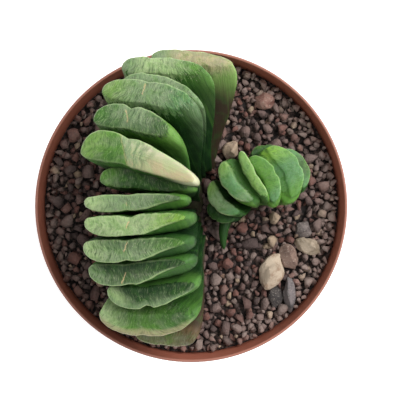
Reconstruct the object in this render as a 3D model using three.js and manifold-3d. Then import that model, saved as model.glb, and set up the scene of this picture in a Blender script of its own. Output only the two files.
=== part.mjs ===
// A potted haworthia of the two-ranked, flat-topped kind: a fan of thick leaves whose cut-off ends are windows,
// with a small pup beside it, in a round plastic nursery pot filled with mineral grit.
//
// Millimetres, +Z up. The origin is the centre of the pot's foot, on the surface that the pot stands on.
// The big fan runs along Y and leans to -X. The pup stands on its +X side.

import * as THREE from "three";
import { mergeVertices } from "three/addons/utils/BufferGeometryUtils.js";
import Module from "manifold-3d";

const wasm = await Module();
wasm.setup();

// ---------------------------------------------------------------- driving dimensions

const GAP = 0.32; // between pieces that touch

const POT = {
  rimRadius: 45, // a 9 cm pot, measured over its lip
  height: 76,
  lipWidth: 0.8,
  collarHeight: 10, // of the stiffer band below the lip
  collarStep: 1.1, // that the wall steps in under the collar
  collarTaper: 0.7, // that the collar narrows from its lip to its lower edge
  wall: 1.2,
  footRadius: 32,
  footHeight: 2.4,
  footWidth: 3,
  floor: 1.6,
  edge: 0.25, // bevel of the lip and the foot
  drainHoles: 6,
  drainRadius: 3,
  drainCircle: 20,
  sides: 48,
};

const GRIT = {
  level: 68.3, // of the bed that the grains are sunk into
  grains: 164,
  radius: 3.3, // of a large grain at its root
  spread: 0.26, // how much less a small one has, as a share
  corners: 5,
  taper: 0.82, // of its top against its root
  rise: 1.5, // of its top over the bed
  root: 1.2, // that it reaches down into the bed
  tilt: 9, // degrees
  seed: 7,
};

// Stones large enough to be told apart: middle, size along its own axes, and how far it is turned in plan.
const STONES = [
  { name: "stone_cream", at: [23.6, -19.2, 70.2], size: [6.4, 10, 4.8], turn: -32 },
  { name: "stone_tan", at: [28.8, -15.2, 69.8], size: [4.8, 7.6, 4.2], turn: 24 },
  { name: "stone_sand", at: [34.2, -11.7, 69.6], size: [7, 4.2, 4], turn: -22 },
  { name: "stone_slate", at: [28.8, -26.0, 69.4], size: [3.2, 9, 3.8], turn: 3 },
  { name: "stone_grey", at: [32.8, -6.8, 69.4], size: [4.4, 4.6, 4.2], turn: 40 },
  { name: "stone_pale", at: [11.6, 16.5, 69.8], size: [4, 4.8, 4.6], turn: -25 },
  { name: "stone_red", at: [21.4, 30.8, 69.6], size: [5.2, 4.2, 4], turn: 8 },
  { name: "stone_dark", at: [24.7, -26.7, 69.1], size: [4, 5.8, 3.4], turn: -14 },
];

// The two short stems, in plan and from their crowns down, and how thick a leaf is where it leaves them.
const MAIN_STEM = { x: -4.1, y: 1.2, halfX: 7.6, halfY: 12.6, crown: 71.2, depth: 13, leafFoot: 1.5 };
const PUP_STEM = { x: 18.2, y: 4.2, halfX: 5.6, halfY: 5.6, crown: 70.2, depth: 9, leafFoot: 1.3 };
const STEM_SHOULDER = 1.4; // that a stem's top falls from its middle to its edge
const STEM_SIDES = 16;

// The leaves of the big fan, youngest first. rank is +1 for the leaves that lean to +Y and -1 for those that
// lean to -Y. foot is where the leaf grows from, in plan, from the stem's middle. left, scar and right are the
// window's two ends and its middle, in plan, and height is the window's. thick is the window's thickness in
// its left and in its right half. cut is how much of the window's outer right corner is missing, as a share:
// there the flesh below the window shows as a broad heel. point is how pointed the right end is.
const FAN_LEAVES = [
  {
    name: "leaf_centre", rank: 1, foot: [-1.5, 0.4], height: 100.5,
    left: [-23.9, 7.6], scar: [-14.6, 7.2], right: [-0.2, 5.4], thick: [5.8, 6.2],
  },
  {
    name: "leaf_lower_1", rank: -1, foot: [-2.6, -1.1], height: 106,
    left: [-27.5, 1.1], scar: [-16.6, 1.2], right: [-1.2, 2.0], thick: [4.8, 4.8], cut: 0.8,
  },
  {
    name: "leaf_upper_1", rank: 1, foot: [-0.5, 2.1], height: 104.5,
    left: [-28.5, 15.8], scar: [-17.3, 14.4], right: [0.9, 6.6], thick: [9.4, 7.6], point: 1.5,
  },
  {
    name: "leaf_lower_2", rank: -1, foot: [-1, -2.7], height: 106,
    left: [-27.5, -4.4], scar: [-16.4, -4.7], right: [0.2, -2.9], thick: [5.6, 6.2], cut: 0.8,
  },
  {
    name: "leaf_upper_2", rank: 1, foot: [1, 3.8], height: 102,
    left: [-25.5, 23.9], scar: [-16.1, 23.2], right: [-5.1, 19.1], thick: [7.3, 7.0],
  },
  {
    name: "leaf_lower_3", rank: -1, foot: [0, -4.3], height: 104,
    left: [-28.1, -11.0], scar: [-16.8, -11.3], right: [0, -9.3], thick: [6.6, 6.4], cut: 0.8,
  },
  {
    name: "leaf_upper_3", rank: 1, foot: [2, 5.4], height: 98.5,
    left: [-23.6, 31.6], scar: [-11.8, 30.1], right: [0.7, 26.6], thick: [6.9, 7.6],
  },
  {
    name: "leaf_lower_4", rank: -1, foot: [0.5, -5.9], height: 100.5,
    left: [-27.1, -17.4], scar: [-16.8, -17.7], right: [0.3, -14.4], thick: [6.4, 6.6], cut: 0.9,
  },
  {
    name: "leaf_upper_4", rank: 1, foot: [3.2, 6.9], height: 94,
    left: [-18.8, 33.5], scar: [-11.0, 33.6], right: [1.2, 29.0], thick: [5.0, 5.0],
  },
  {
    name: "leaf_lower_5", rank: -1, foot: [2, -7.4], height: 97,
    left: [-22.3, -23.3], scar: [-12.2, -24.2], right: [1.6, -20.6], thick: [6.8, 6.4], cut: 0.4,
  },
  {
    name: "leaf_upper_5", rank: 1, foot: [4.4, 8.2], height: 90,
    left: [-19, 38.9], scar: [-9.8, 38.5], right: [4.2, 36.2], thick: [5.8, 5.4],
  },
  {
    name: "leaf_lower_6", rank: -1, foot: [3, -8.8], height: 92.5,
    left: [-24.9, -30.0], scar: [-13.0, -32.0], right: [0.4, -29.8], thick: [7.2, 7.2],
  },
  {
    name: "leaf_upper_6", rank: 1, foot: [5.6, 9.2], height: 84.5,
    left: [-10.9, 41.9], scar: [-0.3, 41.4], right: [12.0, 39.2], thick: [5.2, 4.6],
  },
  {
    name: "leaf_lower_7", rank: -1, foot: [5, -9.8], height: 87,
    left: [-15.2, -35.6], scar: [-7.3, -36.4], right: [1.4, -36.6], thick: [4.8, 5.2],
  },
];

// The pup's leaves, youngest first, in a fan that runs from lower left to upper right. left is the upper end
// of a window. fill is how much more the inner face swells below the window, up to the next younger leaf.
// The last two are its first, smallest leaves.
const PUP_LEAVES = [
  {
    name: "pup_leaf_centre", rank: 1, foot: [0, 0], height: 88,
    left: [13.7, 15.1], scar: [16.8, 8.2], right: [21.0, 2.4], thick: [3.3, 3.1],
  },
  {
    name: "pup_leaf_west_1", rank: -1, foot: [-1.3, -0.5], height: 86.5,
    left: [8.7, 12.2], scar: [11.5, 5.7], right: [17.2, 1.4], thick: [4.8, 3.8], fill: 1.5,
  },
  {
    name: "pup_leaf_east_1", rank: 1, foot: [1.3, 0.5], height: 87,
    left: [16.7, 13.7], scar: [21.6, 8.2], right: [23.4, 1.1], thick: [5.0, 4.8], fill: 0.6,
  },
  {
    name: "pup_leaf_west_2", rank: -1, foot: [-2.7, -0.9], height: 82.5,
    left: [5.6, 6.7], scar: [8.0, 1.0], right: [13.7, -2.1], thick: [4.6, 4.2],
  },
  {
    name: "pup_leaf_east_2", rank: 1, foot: [2.6, 0.9], height: 84.5,
    left: [21.8, 16.4], scar: [28.0, 10.4], right: [28.7, 2.3], thick: [6.2, 6.0], fill: 0.9,
  },
  {
    name: "pup_leaf_west_3", rank: -1, foot: [-3.6, -1.6], height: 77.5,
    left: [4.8, 0.2], scar: [7.7, -2.7], right: [12.7, -3.7], thick: [3.6, 3.4],
  },
  {
    name: "pup_leaf_east_3", rank: 1, foot: [3.9, 1.3], height: 79.5,
    left: [26.3, 15.9], scar: [31.5, 11.3], right: [32.2, 5.0], thick: [3.8, 3.8],
  },
  {
    name: "pup_leaf_north", rank: 1, foot: [0.6, 3.6], height: 76.5,
    left: [17.4, 14.6], scar: [21.3, 16.2], right: [26.4, 16.0], thick: [2.8, 3.2],
  },
];

// The pup's very first leaf: a keeled spike that lies out over the grit.
const SPIKE = {
  name: "pup_leaf_spike",
  foot: [14.4, 0.4, 69.2],
  bend: [8.0, -2.6, 75.4],
  tip: [9.6, -12.8, 71.6],
  width: 4.2,
  thick: 2.6,
  sides: 8,
};

// ---------------------------------------------------------------- small helpers

const radians = THREE.MathUtils.degToRad;
const lerp = THREE.MathUtils.lerp;
const smoothstep = THREE.MathUtils.smoothstep;
const UP = new THREE.Vector3(0, 0, 1);

// A closed mesh as a solid. Faces that point in are turned round.
function solidOf(geometry) {
  const bare = geometry.index ? geometry.toNonIndexed() : geometry.clone();
  const points = new THREE.BufferGeometry().setAttribute("position", bare.getAttribute("position"));
  const merged = mergeVertices(points, 1e-4);
  const vertProperties = merged.attributes.position.array;
  const triVerts = new Uint32Array(merged.index.array);
  const solid = new wasm.Manifold(new wasm.Mesh({ numProp: 3, vertProperties, triVerts }));
  if (solid.volume() > 0) return solid;
  for (let i = 0; i < triVerts.length; i += 3) {
    [triVerts[i + 1], triVerts[i + 2]] = [triVerts[i + 2], triVerts[i + 1]];
  }
  return new wasm.Manifold(new wasm.Mesh({ numProp: 3, vertProperties, triVerts }));
}

// A solid as a geometry. Scraps that a cut leaves loose are dropped.
function geometryOf(solid) {
  const largest = solid.decompose().reduce((a, b) => (a.volume() > b.volume() ? a : b));
  const mesh = largest.getMesh();
  return new THREE.BufferGeometry()
    .setAttribute("position", new THREE.BufferAttribute(new Float32Array(mesh.vertProperties), 3))
    .setIndex(new THREE.BufferAttribute(new Uint32Array(mesh.triVerts), 1));
}

// A seeded draw between 0 and 1.
function seededDraw(seed) {
  let state = seed;
  return () => {
    state = (state + 0x6d2b79f5) | 0;
    let t = Math.imul(state ^ (state >>> 15), 1 | state);
    t = (t + Math.imul(t ^ (t >>> 7), 61 | t)) ^ t;
    return ((t ^ (t >>> 14)) >>> 0) / 4294967296;
  };
}

// The value at s of a line through points [s, value].
function along(points, s) {
  for (let i = 1; i < points.length; i++) {
    const [s0, v0] = points[i - 1];
    const [s1, v1] = points[i];
    if (s <= s1) return v0 + ((v1 - v0) * (s - s0)) / (s1 - s0);
  }
  return points[points.length - 1][1];
}

// A closed skin over rings of points, with a point at each end.
function skinOver(rings, startPoint, endPoint) {
  const count = rings[0].length;
  const positions = [];
  const triangles = [];
  for (const ring of rings) for (const p of ring) positions.push(p.x, p.y, p.z);
  const start = rings.length * count;
  const end = start + 1;
  positions.push(startPoint.x, startPoint.y, startPoint.z, endPoint.x, endPoint.y, endPoint.z);
  for (let j = 0; j < count; j++) {
    const k = (j + 1) % count;
    triangles.push(start, k, j);
    for (let i = 0; i < rings.length - 1; i++) {
      const a = i * count;
      const b = a + count;
      triangles.push(a + j, a + k, b + k, a + j, b + k, b + j);
    }
    const last = (rings.length - 1) * count;
    triangles.push(last + j, last + k, end);
  }
  return new THREE.BufferGeometry()
    .setAttribute("position", new THREE.Float32BufferAttribute(positions, 3))
    .setIndex(triangles);
}

// A round body from a profile of [radius, height] points.
function turned(profile, sides) {
  const points = profile.map(([radius, height]) => new THREE.Vector2(radius, height));
  return new THREE.LatheGeometry(points, sides).rotateX(Math.PI / 2);
}

// ---------------------------------------------------------------- pot

const FLOOR_TOP = POT.footHeight + POT.floor;
const COLLAR_FOOT = POT.height - POT.collarHeight;
const COLLAR_RADIUS = POT.rimRadius - POT.collarTaper; // at the collar's lower edge

// The inner radius of the pot's wall: straight up to the collar, a short step, and the collar's own bore.
const BORE = [
  [POT.footHeight, POT.footRadius - POT.wall],
  [COLLAR_FOOT, COLLAR_RADIUS - POT.collarStep - POT.wall],
  [COLLAR_FOOT + 1.4, COLLAR_RADIUS - POT.lipWidth],
  [POT.height, POT.rimRadius - POT.lipWidth],
];
const boreAt = (z) => along(BORE, z);

// The pot stands on a ring foot. Its wall flares to a collar with a thin lip. Drain holes go through its floor.
function potSolid() {
  const { edge, footHeight, footRadius, footWidth, height, rimRadius } = POT;
  const profile = [
    [0, footHeight],
    [footRadius - footWidth, footHeight],
    [footRadius - footWidth + edge, 0],
    [footRadius - edge, 0],
    [footRadius, edge],
    [COLLAR_RADIUS - POT.collarStep, COLLAR_FOOT],
    [COLLAR_RADIUS, COLLAR_FOOT],
    [rimRadius, height - edge],
    [rimRadius - edge, height],
    [boreAt(height) + edge, height],
    [boreAt(height), height - edge],
    [boreAt(COLLAR_FOOT + 1.4), COLLAR_FOOT + 1.4],
    [boreAt(COLLAR_FOOT), COLLAR_FOOT],
    [boreAt(FLOOR_TOP + 2), FLOOR_TOP + 2],
    [boreAt(FLOOR_TOP) - 1.5, FLOOR_TOP],
    [0, FLOOR_TOP],
  ];
  let pot = solidOf(turned(profile, POT.sides));
  for (let i = 0; i < POT.drainHoles; i++) {
    const angle = (2 * Math.PI * i) / POT.drainHoles;
    const hole = new THREE.CylinderGeometry(POT.drainRadius, POT.drainRadius, 8, 16).rotateX(Math.PI / 2);
    hole.translate(POT.drainCircle * Math.cos(angle), POT.drainCircle * Math.sin(angle), footHeight);
    pot = pot.subtract(solidOf(hole));
  }
  return pot;
}

// ---------------------------------------------------------------- grit and stones

// One angular grain, with its root down in the bed: a slab of a few uneven corners that narrows to its top.
function grainGeometry(draw) {
  const { corners, radius, rise, root, spread, taper, tilt } = GRIT;
  const turn = 2 * Math.PI * draw();
  const outline = Array.from({ length: corners }, (_, j) => {
    const angle = turn + (2 * Math.PI * (j + 0.6 * draw())) / corners;
    const reach = radius * (1 - spread * draw());
    return [reach * Math.cos(angle), reach * Math.sin(angle)];
  });
  const top = rise * (0.75 + 0.5 * draw());
  const rootRing = outline.map(([x, y]) => new THREE.Vector3(x, y, -root));
  const topRing = outline.map(([x, y]) => new THREE.Vector3(taper * x, taper * y, top));
  const grain = skinOver([rootRing, topRing], new THREE.Vector3(0, 0, -root), new THREE.Vector3(0, 0, top));
  const slant = () => radians(tilt) * (2 * draw() - 1);
  return grain.rotateX(slant()).rotateY(slant());
}

function insideStem(stem, x, y) {
  return Math.hypot((x - stem.x) / stem.halfX, (y - stem.y) / stem.halfY) < 1;
}

// The filling of the pot: a bed that is covered with grains on a golden-angle spiral.
function gritSolid() {
  const clear = (z) => boreAt(z) - GAP;
  const bottom = FLOOR_TOP + GAP;
  const profile = [
    [0, bottom],
    [clear(bottom) - 2, bottom],
    [clear(bottom + 2.6), bottom + 2.6],
    [clear(COLLAR_FOOT), COLLAR_FOOT],
    [clear(COLLAR_FOOT + 1.4 + GAP), COLLAR_FOOT + 1.4 + GAP],
    [clear(GRIT.level), GRIT.level],
    [0, GRIT.level],
  ];
  const draw = seededDraw(GRIT.seed);
  const spiral = clear(GRIT.level) - GRIT.radius - 0.3;
  const goldenAngle = Math.PI * (3 - Math.sqrt(5));
  const grains = [];
  for (let i = 0; i < GRIT.grains; i++) {
    const radius = spiral * Math.sqrt((i + 0.5) / GRIT.grains);
    const x = radius * Math.cos(i * goldenAngle);
    const y = radius * Math.sin(i * goldenAngle);
    const grain = grainGeometry(draw);
    if (insideStem(MAIN_STEM, x, y) || insideStem(PUP_STEM, x, y)) continue;
    grains.push(solidOf(grain.translate(x, y, GRIT.level)));
  }
  return wasm.Manifold.union([solidOf(turned(profile, POT.sides)), ...grains]);
}

// A larger stone: an egg with few faces, pushed about.
function stoneSolid(stone, index, grow = 0) {
  const draw = seededDraw(100 + index);
  const ball = new THREE.IcosahedronGeometry(0.5, 1).deleteAttribute("normal").deleteAttribute("uv");
  const egg = mergeVertices(ball, 1e-3);
  const position = egg.getAttribute("position");
  for (let i = 0; i < position.count; i++) {
    const push = 0.93 + 0.16 * draw();
    position.setXYZ(i, position.getX(i) * push, position.getY(i) * push, position.getZ(i) * push);
  }
  egg.scale(...stone.size.map((side) => side + 2 * grow));
  return solidOf(egg.rotateZ(radians(stone.turn)).translate(...stone.at));
}

// ---------------------------------------------------------------- leaves

// How a leaf grows from its foot to its window: its left half, its right half and its thickness, as shares.
// The right side is steep below a cut or pointed window. The pup's leaves stay broad down to their feet.
const FAN_LEFT_ALONG = [[0, 0.42], [0.2, 0.54], [0.5, 0.8], [0.8, 1], [0.92, 1.03], [1, 1.02]];
const FAN_RIGHT_ALONG = [[0, 0.42], [0.2, 0.54], [0.5, 0.84], [0.75, 1.02], [0.91, 1.05], [1, 0.97]];
const STEEP_RIGHT_ALONG = [[0, 0.42], [0.2, 0.54], [0.5, 0.78], [0.75, 0.95], [0.91, 1.03]];
const PUP_LEFT_ALONG = [[0, 0.55], [0.17, 0.7], [0.35, 0.86], [0.75, 1.04], [0.91, 1.04], [1, 1.02]];
const PUP_RIGHT_ALONG = [[0, 0.6], [0.17, 0.78], [0.35, 0.94], [0.75, 1.12], [0.91, 1.1], [1, 0.97]];
const THICK_ALONG = [[0, 0], [0.17, 0.16], [0.35, 0.38], [0.55, 0.64], [0.75, 0.87], [0.91, 1], [1, 0.94]];
const LEAF_RINGS = [0, 0.17, 0.35, 0.55, 0.75, 0.91, 1];
const WINDOW_SHARE = 0.74; // of the rim's size, for the ring on the window
const WINDOW_RISE = 0.5; // of that ring over the rim
const WINDOW_CROWN = 0.7; // of the window's middle over the rim
const BACK_SHARE = 0.54; // of the thickness that lies behind the leaf's middle, on its rounded outer face
const CREASE_DEPTH = 0.12; // of the fold along the middle, as a share of the thickness
const CREASE_WIDTH = 0.16;
const LEFT_BLUNT = 0.64; // the power that shapes an end: 1 is an ellipse, less is blunter
const RIGHT_BLUNT = 0.86;
const HEEL_BLUNT = 0.36; // of the right end below a window with a full cut
const CUT_REACH = 0.12; // that a full cut takes off the window's right reach, as a share
const WINDOW_ROLL = 5; // degrees that the right end stands higher

// A leaf's own measures, from its row.
function leafPlan(leaf) {
  const left = new THREE.Vector3(...leaf.left, 0);
  const right = new THREE.Vector3(...leaf.right, 0);
  const scar = new THREE.Vector3(...leaf.scar, 0);
  const chord = right.clone().sub(left).normalize();
  const outward = new THREE.Vector3(-chord.y, chord.x, 0).multiplyScalar(leaf.rank);
  const cut = leaf.cut ?? 0;
  const isPup = PUP_LEAVES.includes(leaf);
  const steepRightAlong = [...STEEP_RIGHT_ALONG, [1, 1.02 - CUT_REACH * cut]];
  const fanRightAlong = cut || leaf.point ? steepRightAlong : FAN_RIGHT_ALONG;
  return {
    chord,
    outward,
    cut,
    leftAlong: isPup ? PUP_LEFT_ALONG : FAN_LEFT_ALONG,
    rightAlong: isPup ? PUP_RIGHT_ALONG : fanRightAlong,
    windowBlunt: leaf.point ?? RIGHT_BLUNT,
    heelBlunt: lerp(leaf.point ?? RIGHT_BLUNT, HEEL_BLUNT, cut),
    leftReach: scar.clone().sub(left).dot(chord),
    rightReach: right.clone().sub(scar).dot(chord),
    curl: scar.clone().sub(left).dot(outward),
    tip: scar.setZ(leaf.height),
  };
}

// One ring of a leaf: a flattened oval with a fold along its middle, whose ends curl to the middle of the fan.
function leafRing(frame, plan, leaf, stem, sides, s, share, grow) {
  const leftReach = share * plan.leftReach * along(plan.leftAlong, s) + grow;
  const rightReach = share * plan.rightReach * along(plan.rightAlong, s) + grow;
  const curl = share * share * plan.curl * (0.3 + 0.7 * s);
  const nearWindow = smoothstep(s, 0.9, 1);
  const bevel = plan.cut * nearWindow;
  const rightBlunt = lerp(plan.heelBlunt, plan.windowBlunt, nearWindow);
  const inner = (1 - BACK_SHARE) * (1 + (leaf.fill ?? 0) * smoothstep(s, 0.2, 0.7) * (1 - nearWindow));
  const ring = [];
  for (let j = 0; j < sides; j++) {
    const angle = (2 * Math.PI * j) / sides;
    const cosine = Math.cos(angle);
    const sine = Math.sin(angle);
    const across = Math.sign(cosine) * Math.abs(cosine) ** (cosine < 0 ? LEFT_BLUNT : rightBlunt);
    const tipThick = lerp(leaf.thick[0], leaf.thick[1], (across + 1) / 2);
    const thick = share * lerp(stem.leafFoot, tipThick, along(THICK_ALONG, s)) + 2 * grow;
    const crease = 1 - CREASE_DEPTH * s * Math.exp(-((across / CREASE_WIDTH) ** 2));
    let depth = Math.abs(sine) ** 0.8 * thick * crease;
    depth *= sine > 0 ? BACK_SHARE * (1 - bevel * smoothstep(across, 0.05, 1)) : -inner;
    const sideways = ((rightReach + leftReach) * across + (rightReach - leftReach) * across * across) / 2;
    ring.push(
      frame.middle
        .clone()
        .addScaledVector(frame.across, sideways)
        .addScaledVector(frame.outward, depth - curl * across * across),
    );
  }
  return ring;
}

// A leaf from its foot on the stem to its window, as a solid that is grown by `grow` all round.
function leafSolid(leaf, stem, sides, grow = 0) {
  const plan = leafPlan(leaf);
  const foot = footOn(stem, leaf.foot);
  const reach = plan.tip.clone().sub(foot);
  const lean = Math.max(0, reach.dot(plan.outward));
  const bend = foot.clone().addScaledVector(reach, 0.5);
  bend.addScaledVector(plan.outward, 0.07 * lean + 0.3);
  bend.z -= 0.05 * lean;
  const path = new THREE.QuadraticBezierCurve3(foot, bend, plan.tip);

  const roll = radians(WINDOW_ROLL);
  const tipAcross = plan.chord.clone().multiplyScalar(Math.cos(roll)).addScaledVector(UP, Math.sin(roll));
  const footAcross = plan.chord.clone();
  const frameAt = (s) => {
    const facing = path.getTangent(s).lerp(UP, 0.5 * smoothstep(s, 0.6, 1)).normalize();
    const across = footAcross.clone().lerp(tipAcross, s);
    across.addScaledVector(facing, -across.dot(facing)).normalize();
    const outward = new THREE.Vector3().crossVectors(facing, across).multiplyScalar(leaf.rank);
    return { middle: path.getPoint(s), across, outward, facing };
  };
  const ringAt = (s, share, rise) => {
    const frame = frameAt(s);
    frame.middle.addScaledVector(frame.facing, rise);
    return leafRing(frame, plan, leaf, stem, sides, s, share, grow);
  };

  const rings = LEAF_RINGS.map((s) => ringAt(s, 1, s === 1 ? grow : 0));
  rings.push(ringAt(1, WINDOW_SHARE, WINDOW_RISE + grow));
  const end = frameAt(1);
  return solidOf(skinOver(rings, foot, end.middle.addScaledVector(end.facing, WINDOW_CROWN + grow)));
}

// The spike: a keeled section that shrinks to a point.
function spikeSolid(grow = 0) {
  const foot = new THREE.Vector3(...SPIKE.foot);
  const tip = new THREE.Vector3(...SPIKE.tip);
  const path = new THREE.QuadraticBezierCurve3(foot, new THREE.Vector3(...SPIKE.bend), tip);
  const rings = [0.02, 0.25, 0.5, 0.72, 0.9].map((s) => {
    const facing = path.getTangent(s);
    const across = new THREE.Vector3().crossVectors(facing, UP).normalize();
    const back = new THREE.Vector3().crossVectors(across, facing);
    const size = Math.sqrt(1 - s ** 1.6);
    return Array.from({ length: SPIKE.sides }, (_, j) => {
      const angle = (2 * Math.PI * j) / SPIKE.sides;
      return path
        .getPoint(s)
        .addScaledVector(across, Math.cos(angle) * (size * (SPIKE.width / 2) + grow))
        .addScaledVector(back, Math.sin(angle) * (size * (SPIKE.thick / 2) + grow));
    });
  });
  return solidOf(skinOver(rings, foot, tip.addScaledVector(path.getTangent(1), grow)));
}

// The height of a stem's top over a point that is this share of the way to its edge.
function stemTop(stem, share) {
  return stem.crown - STEM_SHOULDER * share ** 4;
}

// Where a leaf starts, just inside the stem.
function footOn(stem, [x, y]) {
  const share = Math.hypot(x / stem.halfX, y / stem.halfY);
  return new THREE.Vector3(stem.x + x, stem.y + y, stemTop(stem, share) - 1);
}

function stemSolid(stem, grow = 0) {
  const bottom = stem.crown - stem.depth - grow;
  const profile = [
    [0, bottom],
    [0.55, bottom],
    [0.92, bottom + 0.45 * stem.depth],
    [1, stemTop(stem, 1) - 1.5],
    [1, stemTop(stem, 1) + grow],
    [0.84, stemTop(stem, 0.84) + grow],
    [0.6, stemTop(stem, 0.6) + grow],
    [0, stem.crown + grow],
  ];
  const body = turned(profile, STEM_SIDES).scale(stem.halfX + grow, stem.halfY + grow, 1);
  return solidOf(body.translate(stem.x, stem.y, 0));
}

// ---------------------------------------------------------------- putting it together

const pieces = [];
const rooms = []; // the space that each plant needs in the grit

function addPiece(name, solid, colour, roughness) {
  const color = new THREE.Color(...colour);
  const material = new THREE.MeshStandardMaterial({ color, roughness, metalness: 0 });
  const mesh = new THREE.Mesh(geometryOf(solid), material);
  mesh.name = name;
  pieces.push(mesh);
}

// A piece that is cut clear of what stands there already, and that later pieces are cut clear of.
function addGrown(name, solid, room, neighbours, colour, roughness) {
  let cut = solid;
  for (const other of neighbours) cut = cut.subtract(other);
  addPiece(name, cut, colour, roughness);
  neighbours.push(room);
  rooms.push(room);
}

const STEM_COLOUR = [0.05, 0.07, 0.03];
const FAN_COLOUR = [0.14, 0.32, 0.1];
const PUP_COLOUR = [0.16, 0.38, 0.11];
const placed = [];

function addPlant(stemName, stem, leaves, sides, colour) {
  addGrown(stemName, stemSolid(stem), stemSolid(stem, GAP), placed, STEM_COLOUR, 0.7);
  for (const leaf of leaves) {
    const room = leafSolid(leaf, stem, sides, GAP);
    addGrown(leaf.name, leafSolid(leaf, stem, sides), room, placed, colour, 0.4);
  }
}

addPlant("main_stem", MAIN_STEM, FAN_LEAVES, 16, FAN_COLOUR);
addPlant("pup_stem", PUP_STEM, PUP_LEAVES, 12, PUP_COLOUR);
addGrown(SPIKE.name, spikeSolid(), spikeSolid(GAP), placed, PUP_COLOUR, 0.5);

addPiece("pot", potSolid(), [0.3, 0.1, 0.05], 0.45);

STONES.forEach((stone, index) => {
  const room = stoneSolid(stone, index, GAP);
  addGrown(stone.name, stoneSolid(stone, index), room, placed, [0.36, 0.3, 0.25], 0.85);
});

let grit = gritSolid();
for (const room of rooms) grit = grit.subtract(room);
addPiece("grit", grit, [0.2, 0.16, 0.15], 0.9);

const group = new THREE.Group();
group.add(...pieces);
export default group;
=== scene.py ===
import math
import random
from collections import namedtuple

import bmesh
import bpy
from mathutils import Euler, Matrix, Vector, noise


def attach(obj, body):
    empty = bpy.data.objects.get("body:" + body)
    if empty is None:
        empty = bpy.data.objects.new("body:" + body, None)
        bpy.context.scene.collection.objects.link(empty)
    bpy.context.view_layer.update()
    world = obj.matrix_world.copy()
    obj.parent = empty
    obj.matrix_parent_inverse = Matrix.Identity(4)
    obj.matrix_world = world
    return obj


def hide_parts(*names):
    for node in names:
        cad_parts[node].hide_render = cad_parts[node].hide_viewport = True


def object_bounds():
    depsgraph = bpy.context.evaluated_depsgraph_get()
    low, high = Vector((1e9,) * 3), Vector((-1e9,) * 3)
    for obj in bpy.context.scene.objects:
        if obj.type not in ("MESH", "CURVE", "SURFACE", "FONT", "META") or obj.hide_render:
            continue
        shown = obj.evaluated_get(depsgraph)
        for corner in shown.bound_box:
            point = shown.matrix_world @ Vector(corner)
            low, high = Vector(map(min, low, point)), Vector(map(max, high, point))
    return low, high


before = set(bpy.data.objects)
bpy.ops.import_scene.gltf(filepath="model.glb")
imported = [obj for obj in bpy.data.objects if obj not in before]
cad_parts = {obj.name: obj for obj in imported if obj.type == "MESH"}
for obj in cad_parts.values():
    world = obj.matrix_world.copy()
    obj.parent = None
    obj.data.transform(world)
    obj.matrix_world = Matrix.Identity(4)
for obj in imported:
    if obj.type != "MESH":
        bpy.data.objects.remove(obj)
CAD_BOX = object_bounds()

# A potted haworthia of the two-ranked, flat-topped kind: a fan of thick leaves with windows on their cut-off
# ends, a small pup beside it, and a round plastic nursery pot filled with mineral grit.
# Metres, +Z up. Rows of leaf and stone sizes are in millimetres, and MM brings them to metres.

bl_info = {
    "name": "Potted haworthia",
    "version": (1, 0, 0),
    "blender": (4, 5, 0),
    "location": "View3D > Sidebar > Haworthia",
    "description": "Builds a potted haworthia with its pup, grit and nursery pot",
    "category": "Add Mesh",
}

MM = 0.001
UP = Vector((0, 0, 1))


def shade(red, green, blue):
    """A colour as it shows on a screen, 0 to 255, as the linear colour that a shader takes."""
    def channel(value):
        value /= 255
        return value / 12.92 if value <= 0.04045 else ((value + 0.055) / 1.055) ** 2.4
    return channel(red), channel(green), channel(blue)


# ---------------- settings

def number(name, description, default, **limits):
    return bpy.props.FloatProperty(name=name, description=description, default=default, **limits)


def whole(name, description, default, least=0):
    return bpy.props.IntProperty(name=name, description=description, default=default, min=least)


def length(name, description, default):
    return number(name, description, default, min=0, subtype="DISTANCE", unit="LENGTH")


def share(name, description, default):
    return number(name, description, default, min=0, max=1, subtype="FACTOR")


def colour(name, description, default):
    return bpy.props.FloatVectorProperty(
        name=name, description=description, default=default, size=3, min=0, max=1, subtype="COLOR"
    )


class HaworthiaPotSettings(bpy.types.PropertyGroup):
    rim_radius: length("Rim radius", "Half the pot's width over its lip", CAD_BOX[1].x)
    height: length("Height", "Height of the pot", 76 * MM)
    lip_width: length("Lip width", "Thickness of the lip", 0.8 * MM)
    collar_height: length("Collar height", "Height of the stiffer band below the lip", 10 * MM)
    wall: length("Wall", "Thickness of the wall", 1.2 * MM)
    foot_radius: length("Foot radius", "Half the width of the ring that the pot stands on", 32 * MM)
    drain_radius: length("Drain hole radius", "Radius of each drain hole", 3 * MM)
    plastic: colour("Plastic", "Colour of the pot", shade(150, 84, 66))
    # The lip's pale top is partly rubbed plastic and partly a painted highlight.
    worn_and_lit: colour("Worn plastic", "Colour of the lip where it is rubbed pale", shade(162, 112, 96))


class HaworthiaGritSettings(bpy.types.PropertyGroup):
    level: length("Level", "Height of the bed that the grains lie on", 68.3 * MM)
    grain: length("Grain size", "Width of a usual grain", 3.1 * MM)
    seed: whole("Seed", "Start of the random draws", 11)
    mauve: colour("Mauve grains", "Colour of most grains", shade(118, 96, 90))
    grey: colour("Grey grains", "Colour of the greyer grains", shade(136, 118, 110))
    red: colour("Red grains", "Colour of the reddish grains", shade(122, 82, 72))
    cream: colour("Cream grains", "Colour of the few pale grains", shade(170, 148, 124))
    dark: colour("Dark grains", "Colour of the darkest grains", shade(80, 65, 62))
    bed: colour("Bed", "Colour of the dust between the grains", shade(64, 50, 47))


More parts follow.
